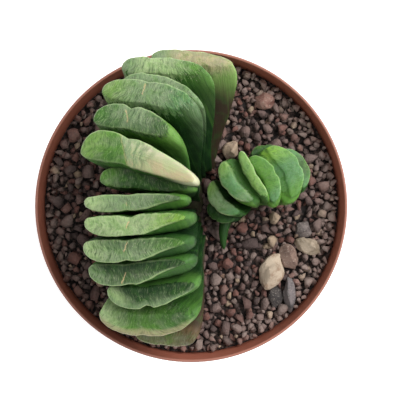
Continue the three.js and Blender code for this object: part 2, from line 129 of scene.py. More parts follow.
class HaworthiaLeafSettings(bpy.types.PropertyGroup):
    sides: whole("Sides", "Points round a leaf", 104, 12)
    rings: whole("Rings", "Rings from a leaf's foot to its window", 40, 8)
    milk: colour("Milky green", "Palest windows", shade(166, 190, 134))
    sage: colour("Sage", "Grey-green windows", shade(126, 150, 108))
    lilac: colour("Lilac grey", "Windows seen through their thinnest skin", shade(134, 140, 118))
    sea: colour("Sea green", "Bluish windows", shade(94, 136, 88))
    spring: colour("Spring green", "Pale young flesh", shade(124, 158, 84))
    lime: colour("Lime", "Yellowish young flesh", shade(126, 166, 64))
    fresh: colour("Fresh green", "Bright flesh", shade(92, 138, 56))
    leaf: colour("Leaf green", "Usual flesh", shade(68, 110, 48))
    shadow: colour("Grey green", "Windows over dark flesh", shade(78, 102, 64))
    moss: colour("Moss green", "Shaded flesh", shade(46, 82, 36))
    bottle: colour("Bottle green", "Darkest flesh", shade(22, 50, 22))
    olive: colour("Olive", "Flesh that sun has begun to brown", shade(106, 106, 68))
    russet: colour("Russet", "Flesh reddened by sun", shade(98, 78, 54))
    bronze: colour("Bronze", "Flesh browned by sun", shade(56, 46, 34))
    peach: colour("Peach", "Reddened pale rim", shade(184, 172, 134))
    cream: colour("Cream", "Window without green", shade(198, 196, 162))
    scar: colour("Scar", "Short scar across a window", shade(206, 184, 138))
    gloss: share("Roughness", "Roughness of the leaf's skin", 0.4)
    sheen: share("Specular", "How strongly the leaf's skin mirrors the light", 0.2)
    depth: share("Subsurface", "How much light goes into the flesh", 0.2)


class HaworthiaStageSettings(bpy.types.PropertyGroup):
    floor_size: length("Floor size", "Width of the floor", 4.0)
    floor_colour: colour("Floor", "Colour of the floor", (0.94, 0.94, 0.94))
    key_power: number("Key light", "Power of the large soft light", 9.0, unit="POWER")
    fill: number("Fill light", "Strength of the light from all round", 0.62, min=0)
    floor_glow: number("Floor glow", "Light that the floor gives off", 0.55, min=0)
    camera_height: length("Camera height", "Height of the camera over the floor", 376 * MM)
    lens: number("Lens", "Focal length", 93.85, unit="CAMERA")


# ---------------- the plant's rows

MAIN_STEM = {"x": -4.1, "y": 1.2, "half_x": 7.6, "half_y": 12.6, "crown": 71.2, "depth": 13, "leaf_foot": 1.5}
PUP_STEM = {"x": 18.2, "y": 4.2, "half_x": 5.6, "half_y": 5.6, "crown": 70.2, "depth": 9, "leaf_foot": 1.3}
STEM_SHOULDER = 1.4
# A stem's outline, in shares of its width: how far up from its bottom, in shares of its depth, and how far
# below its crown.
STEM_FOOT = [(0, 0), (0.5, 0), (0.72, 0.15), (0.92, 0.45)]
STEM_CROWN = [(0.99, 4), (1, 2.4), (0.97, 1.3), (0.84, 0.7), (0.6, 0.2), (0.3, 0.02), (0, 0)]

# rank: +1 leans to +Y. foot: from the stem's middle. height: the window's. left, scar, right: the window's
# ends and middle in plan. thick: the window's thickness in its left and right half.
LeafRow = namedtuple("LeafRow", "node rank foot height left scar right thick")
FAN_LEAVES = [
    ("leaf_centre", 1, (-1.5, 0.4), 100.5, (-23.9, 7.6), (-14.6, 7.2), (-0.2, 5.4), (5.8, 6.2)),
    ("leaf_lower_1", -1, (-2.6, -1.1), 106, (-27.5, 1.1), (-16.6, 1.2), (-1.2, 2.0), (4.8, 4.8)),
    ("leaf_upper_1", 1, (-0.5, 2.1), 104.5, (-28.5, 15.8), (-17.3, 14.4), (0.9, 6.6), (9.4, 7.6)),
    ("leaf_lower_2", -1, (-1, -2.7), 106, (-27.5, -4.4), (-16.4, -4.7), (0.2, -2.9), (5.6, 6.2)),
    ("leaf_upper_2", 1, (1, 3.8), 102, (-25.5, 23.9), (-16.1, 23.2), (-5.1, 19.1), (7.3, 7.0)),
    ("leaf_lower_3", -1, (0, -4.3), 104, (-28.1, -11.0), (-16.8, -11.3), (0, -9.3), (6.6, 6.4)),
    ("leaf_upper_3", 1, (2, 5.4), 98.5, (-23.6, 31.6), (-11.8, 30.1), (0.7, 26.6), (6.9, 7.6)),
    ("leaf_lower_4", -1, (0.5, -5.9), 100.5, (-27.1, -17.4), (-16.8, -17.7), (0.3, -14.4), (6.4, 6.6)),
    ("leaf_upper_4", 1, (3.2, 6.9), 94, (-18.8, 33.5), (-11.0, 33.6), (1.2, 29.0), (5.0, 5.0)),
    ("leaf_lower_5", -1, (2, -7.4), 97, (-22.3, -23.3), (-12.2, -24.2), (1.6, -20.6), (6.8, 6.4)),
    ("leaf_upper_5", 1, (4.4, 8.2), 90, (-19, 38.9), (-9.8, 38.5), (4.2, 36.2), (5.8, 5.4)),
    ("leaf_lower_6", -1, (3, -8.8), 92.5, (-24.9, -30.0), (-13.0, -32.0), (0.4, -29.8), (7.2, 7.2)),
    ("leaf_upper_6", 1, (5.6, 9.2), 84.5, (-10.9, 41.9), (-0.3, 41.4), (12.0, 39.2), (5.2, 4.6)),
    ("leaf_lower_7", -1, (5, -9.8), 87, (-15.2, -35.6), (-7.3, -36.4), (1.4, -36.6), (4.8, 5.2)),
]
PUP_LEAVES = [
    ("pup_leaf_centre", 1, (0, 0), 88, (13.7, 15.1), (16.8, 8.2), (21.0, 2.4), (3.3, 3.1)),
    ("pup_leaf_west_1", -1, (-1.3, -0.5), 86.5, (8.7, 12.2), (11.5, 5.7), (17.2, 1.4), (4.8, 3.8)),
    ("pup_leaf_east_1", 1, (1.3, 0.5), 87, (16.7, 13.7), (21.6, 8.2), (23.4, 1.1), (5.0, 4.8)),
    ("pup_leaf_west_2", -1, (-2.7, -0.9), 82.5, (5.6, 6.7), (8.0, 1.0), (13.7, -2.1), (4.6, 4.2)),
    ("pup_leaf_east_2", 1, (2.6, 0.9), 84.5, (21.8, 16.4), (28.0, 10.4), (28.7, 2.3), (6.2, 6.0)),
    ("pup_leaf_west_3", -1, (-3.6, -1.6), 77.5, (4.8, 0.2), (7.7, -2.7), (12.7, -3.7), (3.6, 3.4)),
    ("pup_leaf_east_3", 1, (3.9, 1.3), 79.5, (26.3, 15.9), (31.5, 11.3), (32.2, 5.0), (3.8, 3.8)),
    ("pup_leaf_north", 1, (0.6, 3.6), 76.5, (17.4, 14.6), (21.3, 16.2), (26.4, 16.0), (2.8, 3.2)),
]
SPIKE = {"foot": (14.4, 0.4, 69.2), "bend": (8.0, -2.6, 75.4), "tip": (9.6, -12.8, 71.6)}
SPIKE_LENGTH, SPIKE_WIDTH, SPIKE_THICK, SPIKE_RINGS, SPIKE_SIDES = 12, 4.2, 2.6, 40, 28

# How a leaf grows from its foot to its window, as shares of its left reach, right reach and thickness.
# The right side is steep below a cut or pointed window. The pup's leaves stay broad down to their feet.
FAN_LEFT_ALONG = [(0, 0.42), (0.2, 0.54), (0.5, 0.8), (0.8, 1), (0.92, 1.03), (1, 1.02)]
FAN_RIGHT_ALONG = [(0, 0.42), (0.2, 0.54), (0.5, 0.84), (0.75, 1.02), (0.91, 1.05), (1, 0.97)]
STEEP_RIGHT_ALONG = [(0, 0.42), (0.2, 0.54), (0.5, 0.78), (0.75, 0.95), (0.91, 1.03)]
PUP_LEFT_ALONG = [(0, 0.55), (0.17, 0.7), (0.35, 0.86), (0.75, 1.04), (0.91, 1.04), (1, 1.02)]
PUP_RIGHT_ALONG = [(0, 0.6), (0.17, 0.78), (0.35, 0.94), (0.75, 1.12), (0.91, 1.1), (1, 0.97)]
THICK_ALONG = [(0, 0), (0.17, 0.16), (0.35, 0.38), (0.55, 0.64), (0.75, 0.87), (0.91, 1), (1, 0.94)]
BACK_SHARE = 0.54  # of the thickness that lies behind a leaf's middle
CREASE_DEPTH, CREASE_WIDTH = 0.12, 0.16
LEFT_BLUNT, RIGHT_BLUNT = 0.64, 0.86

# How much of a window's outer right corner is missing, as a share: the flesh below it shows as a broad heel.
CORNER_CUT = {
    "leaf_lower_1": 0.8, "leaf_lower_2": 0.8, "leaf_lower_3": 0.8, "leaf_lower_4": 0.9, "leaf_lower_5": 0.4
}
HEEL_BLUNT = 0.36  # the right end's power below a window with a full cut
CUT_REACH = 0.12  # that a full cut takes off the window's right reach, as a share
POINTED = {"leaf_upper_1": 1.5}  # the right end's power where a leaf runs to a point
# How much more a pup leaf's inner face swells below its window, up to the next younger leaf.
FILL = {"pup_leaf_west_1": 1.5, "pup_leaf_east_1": 0.6, "pup_leaf_east_2": 0.9}
WINDOW_ROLL = math.radians(5)
WINDOW_CROWN = 0.7
WINDOW_RINGS = 16
WINDOW_CLOSING = 1.35  # the power by which the window's rings close towards its middle
SHOULDER = {-1: 1.3, 1: 0.7}  # how far the window is rounded off, on its inner and its outer side
SCAR_DEPTH, SCAR_WIDTH = 0.16, 0.4
SPLAY = 0.045  # how much the window's lines spread towards its rims, as a share for each millimetre
FLESH_REACH = 1.5 * MM  # how far light goes into the fan's flesh

# What each leaf shows beyond the usual. Lengths are in millimetres, strengths are shares.
# window: tones from its left end to its right. face: the flanks' tone by the rim and, past fade, below it,
# the darker tone below being painted shade between the leaves and on the browned leaves partly their own
# colour.
# inner: the inner flank's tone by the rim. shaded: how dark the painted shade on the window's inner half is.
# streak, fleck, mottle: dark streaks, pale flecks, soft blots in the window. lines: lines on the flanks.
# spill: how far the window runs over the inner and outer rim. jag, soft: how ragged and blurred its edge is.
# rim: pale line along the inner and outer rim, in rim_tone. margin: tone, strength and depth of a band on the
# right, partly the flesh's own tone and partly a painted highlight on the heels.
# halo: pale band inside the outer rim, strength and width. fan: how much the window's lines spread towards
# its outer side, for each millimetre. cream: 1 where its right half is cream. flesh: how clear it is.
# scar: place from the row's scar, slant, its two ends across the leaf, strength. notch: place, side, depth.
USUAL = dict(
    window="fresh sage leaf", face="leaf bottle", fade=9, inner=None, shaded=0.2, streak=0.5, fleck=0.4,
    mottle=0.3, lines=0.6, spill=(0.4, 0.6), jag=1.0, soft=0.3, rim=(0.2, 0.5), rim_tone="milk", halo=(0, 1),
    margin=("fresh", 0.5, 26), fan=0, cream=0, flesh=1, scar=(0, 0, 0, 0, 0), notch=(0, 1, 0),
)
PUP_USUAL = {
    **USUAL, "face": "fresh leaf", "streak": 0.1, "mottle": 1.0, "fleck": 0.2, "fade": 16, "lines": 0.25,
    "margin": ("fresh", 0, 26), "shaded": 0, "flesh": 2,
}
LOOKS = {
    "leaf_centre": dict(
        window="fresh moss moss", streak=0.6, fleck=0.5, rim=(0, 0.3), margin=("fresh", 0.7, 10), mottle=0.8,
    ),
    "leaf_lower_1": dict(
        window="milk sage shadow", streak=0.6, fleck=0.9, rim=(0.5, 0.5), scar=(0.2, 0.1, 0, 1, 0.4),
        margin=("fresh", 0.7, 9), shaded=0.15, notch=(0.3, 1, 0.06), fade=4,
    ),
    "leaf_upper_1": dict(
        window="spring fresh leaf", streak=0.6, cream=1, mottle=0.6, scar=(0.2, -0.6, -9, 9, 0.25),
        notch=(-1.0, 1, 0.16), spill=(0.9, 0.5), margin=("fresh", 0, 9), shaded=0.3,
    ),
    "leaf_lower_2": dict(
        window="milk milk lime", streak=0.4, fleck=0.8, mottle=0.6, scar=(0.3, -0.5, -1, 0.8, 0.9),
        notch=(1.2, -1, 0.22), rim=(0.5, 0.7), margin=("fresh", 0.5, 8), shaded=0.05, fade=4,
    ),
    "leaf_upper_2": dict(
        window="leaf sage shadow", face="fresh leaf", streak=0.8, fleck=0.9, jag=4.4, soft=1.0,
        scar=(-0.4, -0.4, -1.2, 2, 0.6), notch=(-0.6, 1, 0.16), spill=(1.4, 0.5), shaded=0.4,
        margin=("spring", 0.4, 22), fade=24, fan=-0.03, lines=0.5,
    ),
    "leaf_lower_3": dict(
        window="milk sage fresh", face="moss bottle", streak=0.85, fleck=1.0, mottle=0.5,
        scar=(-0.3, -0.4, -2.1, 0.4, 0.8), notch=(-0.6, 1, 0.18), rim=(0.3, 0.7), margin=("leaf", 0.6, 5),
        shaded=0.5, fade=4, halo=(0.3, 1.4),
    ),
    "leaf_upper_3": dict(
        window="spring sage sea", face="moss bottle", streak=0.7, fleck=1.0, jag=7.5,
        scar=(-0.7, 0.05, -0.7, 2.6, 0.7), spill=(2.8, 0.5), margin=("sage", 0.5, 26), fade=12,
        rim=(0, 0.6), shaded=0, fan=-0.05,
    ),
    "leaf_lower_4": dict(
        window="sage shadow moss", streak=0.9, fleck=0.7, mottle=0.5, scar=(-0.4, -0.45, -0.4, 2.6, 0.8),
        rim=(0.2, 0.8), margin=("leaf", 0.6, 6), shaded=1.1, fade=4, halo=(0.5, 2.0),
    ),
    "leaf_upper_4": dict(
        window="sage sage sage", margin=("sage", 0.8, 26), rim=(0, 0.6), jag=3.0, fleck=0.6, shaded=0,
    ),
    "leaf_lower_5": dict(
        window="milk moss moss", streak=0.6, fleck=0.8, rim=(0, 1.0), notch=(0.6, 1, 0.2),
        margin=("fresh", 0.5, 12), shaded=1.1, halo=(0.95, 3.2),
    ),
    "leaf_upper_5": dict(
        window="sage milk fresh", streak=0.6, fleck=1.0, jag=8.0, spill=(1.9, 0.4), notch=(-1.2, 1, 0.14),
        margin=("spring", 0.3, 26), fade=17, rim=(0, 0.5), shaded=0, fan=-0.05, lines=0.8,
    ),
    "leaf_lower_6": dict(
        window="milk fresh leaf", streak=0.6, fleck=0.7, rim=(0, 1.0), rim_tone="peach", spill=(5.0, 0.5),
        jag=6.0, soft=2.6, fade=14, shaded=0.5, fan=0.09, mottle=0.4, halo=(1.0, 3.8),
    ),
    "leaf_upper_6": dict(
        window="sage peach peach", face="spring bronze", streak=0.15, fleck=0.5, jag=3.0, soft=3.4,
        spill=(2.4, 0.5), margin=("spring", 0.8, 16), fade=15, rim=(0, 0.3), shaded=0,
    ),
    "leaf_lower_7": dict(
        window="olive olive russet", face="russet bronze", streak=0.4, rim=(0, 0.4), fade=5, lines=0.2,
        rim_tone="peach", soft=1.6, jag=2.0, margin=("russet", 0.4, 20), shaded=0.3,
    ),
    "pup_leaf_centre": dict(window="spring spring spring", inner="leaf", rim=(0.2, 0.6)),
    "pup_leaf_west_1": dict(window="spring sea sage", inner="leaf", rim=(0.2, 1.0)),
    "pup_leaf_east_1": dict(window="fresh fresh sea", inner="fresh", rim=(0, 0.3), spill=(1.2, 0.5)),
    "pup_leaf_west_2": dict(window="spring sage sea", face="moss bottle", rim=(0.2, 1.0)),
    "pup_leaf_east_2": dict(window="lime sea fresh", inner="fresh", rim=(0, 0.3), spill=(1.4, 0.5)),
    "pup_leaf_west_3": dict(window="moss moss moss", face="bottle bottle", rim=(0, 0.3)),
    "pup_leaf_east_3": dict(window="sea shadow sea", face="moss bottle", rim=(0, 0.4)),
    "pup_leaf_north": dict(window="moss moss moss", face="moss bottle", rim=(0, 0.3)),
    "pup_leaf_spike": dict(window="moss moss moss", face="moss bottle", rim=(0, 0)),
}

# The larger stones: node, middle, size, turn in plan in degrees, body colour, vein colour.
STONES = [
    ("stone_cream", (23.6, -19.2, 70.2), (6.4, 10, 4.8), -32, shade(192, 174, 152), shade(152, 126, 104)),
    ("stone_tan", (28.8, -15.2, 69.8), (4.8, 7.6, 4.2), 24, shade(134, 110, 98), shade(104, 82, 72)),
    ("stone_sand", (34.2, -11.7, 69.6), (7, 4.2, 4), -22, shade(170, 154, 134), shade(122, 108, 88)),
    ("stone_slate", (28.8, -26.0, 69.4), (3.2, 9, 3.8), 3, shade(122, 114, 114), shade(82, 80, 80)),
    ("stone_grey", (32.8, -6.8, 69.4), (4.4, 4.6, 4.2), 40, shade(120, 110, 106), shade(82, 74, 72)),
    ("stone_pale", (11.6, 16.5, 69.8), (4, 4.8, 4.6), -25, shade(176, 154, 130), shade(128, 106, 94)),
    ("stone_red", (21.4, 30.8, 69.6), (5.2, 4.2, 4), 8, shade(158, 122, 110), shade(118, 80, 70)),
    ("stone_dark", (24.7, -26.7, 69.1), (4, 5.8, 3.4), -14, shade(72, 66, 64), shade(48, 44, 44)),
]
STONE_SEED = 71

# Throws of loose grains: tries, least and most radius as shares of a usual grain's, how near two may lie as a
# share of their radii, least and most height over the bed, and if they keep clear of those thrown before.
THROWS = [
    (220, 1.35, 1.7, 1.1, 1.0, 1.5, True),
    (9000, 0.75, 1.2, 0.8, 0.7, 1.5, True),
    (12000, 0.42, 0.7, 0.78, 0.7, 1.4, True),
    (9000, 0.7, 1.1, 0.72, -0.5, 0.1, False),
]
GRAIN_SHAPES = 24
CELL = 5  # width of the squares by which near grains are found
DRAIN_HOLES, DRAIN_RING = 6, 20 * MM


# ---------------- material helpers

class Shader:
    """A material whose nodes are made in few words. A value may be a number, another node's output, a
    colour, or the name of a colour among the settings."""

    def __init__(self, name, settings=None):
        self.settings = settings
        self.material = bpy.data.materials.new(name)
        self.material.use_nodes = True
        self.nodes = self.material.node_tree.nodes
        self.links = self.material.node_tree.links

    def put(self, socket, value):
        if isinstance(value, bpy.types.NodeSocket):
            self.links.new(value, socket)
            return
        if isinstance(value, str):
            value = getattr(self.settings, value)
        socket.default_value = (*value[:3], 1.0) if socket.type == "RGBA" else value

    def node(self, kind, inputs, **settings):
        node = self.nodes.new(kind)
        for key, value in settings.items():
            setattr(node, key, value)
        for key, value in inputs.items():
            self.put(node.inputs[key], value)
        return node

    def place(self, stretch=(1, 1, 1)):
        """The place on the piece, in millimetres."""
        place = self.node("ShaderNodeTexCoord", {}).outputs["Object"]
        size = tuple(side / MM for side in stretch)
        return self.node("ShaderNodeMapping", {"Vector": place, "Scale": size}).outputs["Vector"]

    def radius(self, place):
        """How far a place lies from the pot's axis."""
        level = self.node("ShaderNodeVectorMath", {0: place, 1: (1, 1, 0)}, operation="MULTIPLY").outputs[0]
        return self.node("ShaderNodeVectorMath", {0: level}, operation="LENGTH").outputs["Value"]

    def axes(self, vector):
        parts = self.node("ShaderNodeSeparateXYZ", {"Vector": vector}).outputs
        return parts["X"], parts["Y"], parts["Z"]

    def attribute(self, name, output="Fac"):
        return self.node("ShaderNodeAttribute", {}, attribute_name=name).outputs[output]

    def math(self, operation, first, *others):
        for second in others:
            first = self.node("ShaderNodeMath", {0: first, 1: second}, operation=operation).outputs[0]
        return first

    def times(self, *values):
        return self.math("MULTIPLY", *values)

    def plus(self, *values):
        return self.math("ADD", *values)

    def less(self, first, second):
        return self.math("SUBTRACT", first, second)

    def size_of(self, value):
        return self.math("ABSOLUTE", value, 0.0)

    def ease(self, value, low, high, bottom=0.0, top=1.0):
        inputs = {"Value": value, "From Min": low, "From Max": high, "To Min": bottom, "To Max": top}
        return self.node("ShaderNodeMapRange", inputs, interpolation_type="SMOOTHSTEP").outputs["Result"]

    def coated(self, base, *coats):
        """The base under its coats, each a colour, a mask and any numbers that ease the mask."""
        for coat, mask, *span in coats:
            inputs = {"Factor": self.ease(mask, *span) if span else mask, 6: base, 7: coat}
            base = self.node("ShaderNodeMix", inputs, data_type="RGBA").outputs[2]
        return base

    def combine(self, x, y, z):
        return self.node("ShaderNodeCombineXYZ", {"X": x, "Y": y, "Z": z}).outputs["Vector"]

    def noise(self, vector, scale, detail=3.0, roughness=0.55):
        inputs = {"Vector": vector, "Scale": scale, "Detail": detail, "Roughness": roughness}
        return self.node("ShaderNodeTexNoise", inputs).outputs["Fac"]

    def cells(self, vector, scale):
        return self.node("ShaderNodeTexVoronoi", {"Vector": vector, "Scale": scale}).outputs["Distance"]

    def finish(self, base, rough, height=None, relief=1.0, **others):
        """The material, its surface set: other sockets go by their own names, with _ for each space."""
        if height is not None:
            bump = self.node("ShaderNodeBump", {"Height": height, "Distance": relief, "Strength": 1.0})
            others["Normal"] = bump.outputs["Normal"]
        surface = self.nodes["Principled BSDF"]
        for key, value in {"Base Color": base, "Roughness": rough, **others}.items():
            self.put(surface.inputs[key.replace("_", " ")], value)
        return self.material


# ---------------- mesh helpers

def meshed(bm, name):
    """The bmesh, now done with, as a mesh."""
    mesh = bpy.data.meshes.new(name)
    bm.to_mesh(mesh)
    bm.free()
    return mesh


def placed(context, name, data):
    """A new object in the scene, with its data."""
    thing = bpy.data.objects.new(name, data)
    context.scene.collection.objects.link(thing)
    return thing


def new_piece(context, bm, name, material, node):
    """The finished mesh as a piece on the root body that stands for a CAD node."""
    mesh = meshed(bm, name)
    mesh.shade_smooth()
    mesh.materials.append(material)
    piece = placed(context, name, mesh)
    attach(piece, "root")
    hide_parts(node)
    return piece


def leaf_tube(sides, rings):
    """An open tube of unit radius, a ring of points at each whole height, and the layers that a leaf's
    material reads. across: from the leaf's left end to its right, -1 to 1. ray: the same at the rim, in
    millimetres. flow: along the window's lines and on down the flanks, negative on the inner side.
    place: sideways, deep, and how far in from the rim, negative below it."""
    bm = bmesh.new()
    bmesh.ops.create_circle(bm, cap_ends=False, segments=sides, radius=1)
    edges = bm.edges[:]
    for _ in range(rings):
        drawn = bmesh.ops.extrude_edge_only(bm, edges=edges)["geom"]
        bmesh.ops.translate(bm, verts=[v for v in drawn if isinstance(v, bmesh.types.BMVert)], vec=UP)
        edges = [e for e in drawn if isinstance(e, bmesh.types.BMEdge)]
        edges = [e for e in edges if abs(e.verts[0].co.z - e.verts[1].co.z) < 0.5]
    layers = bm.verts.layers
    floats = [layers.float.new(key) for key in ("across", "ray", "flow")]
    return bm, *floats, layers.float_vector.new("place")


def closed(bm):
    """Poles drawn together, open ends filled and every face turned outwards."""
    bmesh.ops.remove_doubles(bm, verts=bm.verts[:], dist=1e-7)
    bmesh.ops.dissolve_degenerate(bm, edges=bm.edges[:], dist=1e-7)
    bmesh.ops.holes_fill(bm, edges=[edge for edge in bm.edges if edge.is_boundary], sides=0)
    bmesh.ops.recalc_face_normals(bm, faces=bm.faces[:])
    return bm


def spun(profile, steps):
    """A round body from a profile of (radius, height) points that starts and ends on the axis."""
    bm = bmesh.new()
    points = [bm.verts.new((radius, 0, height)) for radius, height in profile]
    edges = [bm.edges.new(pair) for pair in zip(points, points[1:])]
    bmesh.ops.spin(
        bm, geom=points + edges, cent=(0, 0, 0), axis=(0, 0, 1), angle=math.tau, steps=steps, use_merge=True
    )
    return closed(bm)


def curve(start, pull, end, t):
    """The point and the direction at t of a curve from start to end that is drawn towards pull."""
    way = (pull - start) * 2 * (1 - t) + (end - pull) * 2 * t
    return start * (1 - t) ** 2 + pull * 2 * t * (1 - t) + end * t ** 2, way.normalized()


def rounded(profile, radius, cuts=4):
    """The profile with each inner corner replaced by a short curve."""
    soft = [profile[0]]
    for corner in zip(profile, profile[1:], profile[2:]):
        a, b, c = (Vector(point) for point in corner)
        to_a, to_c = a - b, c - b
        reach = min(radius, 0.45 * to_a.length, 0.45 * to_c.length)
        start, end = b + to_a.normalized() * reach, b + to_c.normalized() * reach
        soft += [tuple(curve(start, b, end, i / cuts)[0]) for i in range(cuts + 1)]
    soft.append(profile[-1])
    return soft


def along(points, s):
    """The value at s of a smooth line through points (s, value)."""
    last = len(points) - 1
    for i in range(last):
        (s0, v0), (s1, v1) = points[i], points[i + 1]
        if s <= s1 or i == last - 1:
            break
    slope = (v1 - v0) / (s1 - s0)
    slope_in = (v1 - points[i - 1][1]) / (s1 - points[i - 1][0]) if i > 0 else slope
    slope_out = (points[i + 2][1] - v0) / (points[i + 2][0] - s0) if i + 2 <= last else slope
    span = s1 - s0
    t = (s - s0) / span
    return (
        v0 * (2 * t ** 3 - 3 * t ** 2 + 1) + slope_in * span * (t ** 3 - 2 * t ** 2 + t)
        + v1 * (3 * t ** 2 - 2 * t ** 3) + slope_out * span * (t ** 3 - t ** 2)
    )


def ease(value, low, high):
    t = min(1.0, max(0.0, (value - low) / (high - low)))
    return t * t * (3 - 2 * t)


def lerp(a, b, t):
    return a + (b - a) * t


# ---------------- pot

def make_pot(context):
    pot = context.scene.haworthia_pot
    rim, height, lip = pot.rim_radius, pot.height, pot.lip_width
    collar_foot, collar, step = height - pot.collar_height, rim - 0.7 * MM, 1.1 * MM
    foot, foot_height, foot_width, floor_top = pot.foot_radius, 2.4 * MM, 3 * MM, 4 * MM

    def bore(z):
        up = (z - foot_height) / (collar_foot - foot_height)
        return lerp(foot - pot.wall, collar - step - pot.wall, up)

    profile = rounded([
        (0, foot_height),
        (foot - foot_width, foot_height),
        (foot - foot_width + 0.4 * MM, 0),
        (foot, 0),
        (foot + 0.1 * MM, 1.2 * MM),
        (collar - step, collar_foot - 0.6 * MM),
        (collar - step, collar_foot),
        (collar, collar_foot),
        (rim, height),
        (rim - lip, height),
        (collar - lip, collar_foot + 1.4 * MM),
        (bore(collar_foot), collar_foot),
        (bore(floor_top + 2 * MM), floor_top + 2 * MM),
        (bore(floor_top) - 1.5 * MM, floor_top),
        (0, floor_top),
    ], 0.45 * MM)
    bm = spun(profile, 144)

    shader = Shader("nursery pot plastic", pot)
    place = shader.place()
    up = shader.axes(place)[2]
    cloud = shader.noise(place, 0.12, 4)
    speck = shader.noise(place, 1.9, 5, 0.7)
    # Painted light: above the grit the inner wall is lighter, standing in for the light that reaches down
    # into the pot. Less its slope, its radius is smaller than the outer wall's.
    inside = shader.less(shader.radius(place), shader.times(up, 0.07))
    wall_bounce_light = shader.times(shader.ease(inside, 39.38, 39.18), shader.ease(up, 60, 67), 0.6)
    # The top of the lip is paler: partly rubbed plastic, partly a painted highlight where the light falls on
    # it.
    rubbed_and_lit = shader.times(
        shader.ease(up, height / MM - 1.1, height / MM - 0.1), 0.75, shader.ease(speck, 0.2, 0.6, 0.6, 1.0)
    )
    base = shader.coated(
        "plastic",
        (shade(138, 70, 52), cloud, 0.35, 0.7, 0, 0.6),
        (shade(188, 150, 132), speck, 0.62, 0.75, 0, 0.35),
        # painted light: the inner wall lighter above the grit
        (shade(196, 120, 96), wall_bounce_light),
        # partly rubbed plastic, partly a painted highlight on the lip's top
        ("worn_and_lit", rubbed_and_lit),
    )
    grain = shader.plus(shader.times(speck, 0.35), shader.noise(place, 0.5, 3))
    material = shader.finish(base, shader.ease(cloud, 0.2, 0.8, 0.38, 0.56), grain, 0.06 * MM)

    piece = new_piece(context, bm, "pot_moulding", material, "pot")
    drill = bmesh.new()
    for i in range(DRAIN_HOLES):
        angle = math.tau * i / DRAIN_HOLES
        spot = (DRAIN_RING * math.cos(angle), DRAIN_RING * math.sin(angle), foot_height)
        bmesh.ops.create_cone(
            drill, cap_ends=True, segments=40, radius1=pot.drain_radius, radius2=pot.drain_radius,
            depth=8 * MM, matrix=Matrix.Translation(spot)
        )
    cutter = placed(context, "drill", meshed(drill, "drill"))
    cut = piece.modifiers.new("drain holes", "BOOLEAN")
    cut.operation, cut.object, cut.solver = "DIFFERENCE", cutter, "EXACT"
    context.view_layer.update()
    shaped = piece.evaluated_get(context.evaluated_depsgraph_get())
    drilled = bpy.data.meshes.new_from_object(shaped)
    piece.modifiers.clear()
    piece.data = drilled
    bpy.data.objects.remove(cutter)
    drilled.shade_smooth()
    drilled.set_sharp_from_angle(angle=math.radians(38))


# ---------------- grit

# The collar's bore is 43.5 mm at its foot and 44.2 mm at the lip, 8.6 mm up. The grains lie 1.6 mm up.
BORE_AT_GRAINS = lerp(43.5, 44.2, 1.6 / 8.6)


def make_bed(context):
    grit = context.scene.haworthia_grit
    level, bottom, edge, rings = grit.level, 4.32 * MM, 43.2 * MM, 34
    profile = [(0, bottom), (28 * MM, bottom), (30.7 * MM, bottom + 2.6 * MM), (41.6 * MM, 65.8 * MM)]
    profile += [(edge, 67.8 * MM), (edge, level)]
    profile += [(edge * (1 - i / rings), level) for i in range(1, rings)] + [(0, level)]
    bm = spun(profile, 128)
    for v in bm.verts:
        if v.co.z > level - 0.01 * MM and math.hypot(v.co.x, v.co.y) < edge - 0.2 * MM:
            v.co.z += (0.5 * noise.noise(v.co * 900) + 0.35 * noise.noise(v.co * 2300) - 0.5) * MM
    shader = Shader("grit dust", grit)
    place = shader.place()
    grain = shader.cells(place, 0.9)
    tone = shader.noise(place, 0.7, 5, 0.7)
    # The bed's dark cell edges are painted shade in the gaps between its small grains.
    base = shader.coated("bed", (shade(96, 80, 72), tone, 0.35, 0.65), (shade(34, 28, 26), grain, 0.25, 0.6))
    material = shader.finish(base, 0.95, shader.less(tone, grain), 0.6 * MM)
    new_piece(context, bm, "grit_bed", material, "grit")


def grain_shapes(draw, count):
    """A few angular grains of about unit size, each the hull of some points thrown into a rough block."""
    shapes = []
    for _ in range(count):
        bm = bmesh.new()
        for _ in range(draw.randint(11, 15)):
            way = Vector((draw.gauss(0, 1), draw.gauss(0, 1), draw.gauss(0, 1))).normalized()
            reach = draw.uniform(0.84, 1.04) / max(abs(way.x), abs(way.y), abs(way.z)) ** 0.4
            bm.verts.new(way * 0.88 * reach)
        hull = bmesh.ops.convex_hull(bm, input=bm.verts[:])
        bmesh.ops.delete(bm, geom=hull["geom_interior"], context="VERTS")
        shapes.append(meshed(bm, "grain"))
    return shapes


def taken(x, y, radius):
    """If a stem or one of the larger stones leaves no room for a grain."""
    for stem in (MAIN_STEM, PUP_STEM):
        half_x, half_y = stem["half_x"] - 0.4, stem["half_y"] - 0.4
        if math.hypot((x - stem["x"]) / half_x, (y - stem["y"]) / half_y) < 1:
            return True
    for _, middle, size, turn, _, _ in STONES:
        spot = Matrix.Rotation(-math.radians(turn), 2) @ Vector((x - middle[0], y - middle[1]))
        half_x, half_y = (0.5 * side + 0.4 * radius for side in size[:2])
        if math.hypot(spot.x / half_x, spot.y / half_y) < 1:
            return True
    return False


